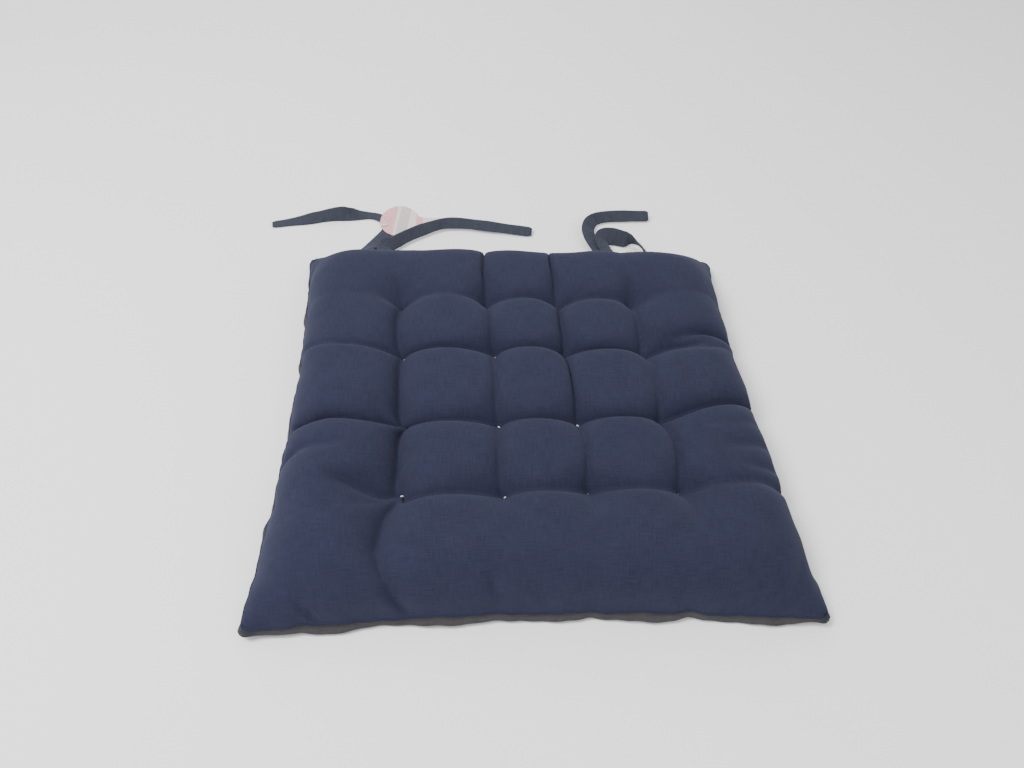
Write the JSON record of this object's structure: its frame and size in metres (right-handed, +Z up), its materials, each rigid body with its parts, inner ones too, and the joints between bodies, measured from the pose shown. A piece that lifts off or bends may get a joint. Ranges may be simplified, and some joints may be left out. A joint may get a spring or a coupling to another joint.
{
  "type": "chair seat pad",
  "caption": "Square tufted chair seat pad with a fibre filling, a knife-edge seam, folded tie straps at the back and a small paper tag.",
  "frame": {"origin": "middle of the underside, where the pad rests on a seat", "axes": "+Z up, through the pad's thickness; +Y to the back edge, which carries the tie straps; +X to the right, seen from the front"},
  "size_m": [0.4505, 0.5043, 0.046],
  "materials": {
    "cotton": "matt plain-woven cotton, navy blue",
    "fibre": "loose white polyester fibre",
    "navy_thread": "navy sewing thread",
    "white_yarn": "twisted off-white cotton yarn",
    "tag_card": "coated paper card, grey and pale pink print blocks",
    "nylon": "translucent nylon"
  },
  "bodies": {
    "pad": {"cover_top": "cotton", "cover_bottom": "cotton", "fibre_filling": "fibre", "edge_seam_thread": "navy_thread", "tag_pin": "nylon", "tie_left_tail_outer": "cotton", "tie_left_tail_inner": "cotton", "tie_right_tail_inner": "cotton", "tie_right_tail_outer": "cotton", "tie_left_root": "cotton", "tie_right_root": "cotton", "tie_left_tack": "navy_thread", "tie_right_tack": "navy_thread", "tuft_stitch_a1": "white_yarn", "tuft_stitch_a2": "white_yarn", "tuft_stitch_a3": "white_yarn", "tuft_stitch_a4": "white_yarn", "tuft_stitch_b1": "white_yarn", "tuft_stitch_b2": "white_yarn", "tuft_stitch_b3": "white_yarn", "tuft_stitch_b4": "white_yarn", "tuft_stitch_c1": "white_yarn", "tuft_stitch_c2": "white_yarn", "tuft_stitch_c3": "white_yarn", "tuft_stitch_c4": "white_yarn", "tuft_stitch_d1": "white_yarn", "tuft_stitch_d2": "white_yarn", "tuft_stitch_d3": "white_yarn", "tuft_stitch_d4": "white_yarn"},
    "tag": {"swing_tag": "tag_card"}
  },
  "joints": [
    {"name": "tag_swing", "type": "hinge", "parent": "pad", "child": "tag", "pos_m": [-0.1325, 0.27, 0.00225], "axis": [0, 0, 1], "range_deg": [-20, 45]}
  ]
}
